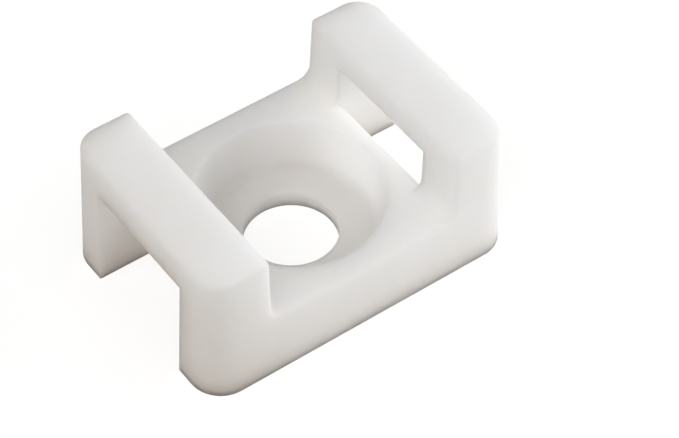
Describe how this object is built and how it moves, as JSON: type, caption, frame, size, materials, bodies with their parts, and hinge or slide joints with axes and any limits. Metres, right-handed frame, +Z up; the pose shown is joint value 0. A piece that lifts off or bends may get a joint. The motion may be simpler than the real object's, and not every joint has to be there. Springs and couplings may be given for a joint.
{
  "type": "cable tie mount",
  "caption": "Saddle-type cable tie mount in natural nylon: low block with a round screw cup and hole, and an open portal at each end for the tie.",
  "frame": {"origin": "centre of the underside, on the screw hole's axis", "axes": "+X along the length, through both end portals; +Y across the width; +Z up, out of the screw cup"},
  "size_m": [0.0218, 0.015, 0.0092],
  "materials": {
    "natural_nylon": "natural, slightly translucent moulded nylon with a satin surface"
  },
  "bodies": {
    "root": {"cable_tie_mount": "natural_nylon"}
  },
  "joints": []
}
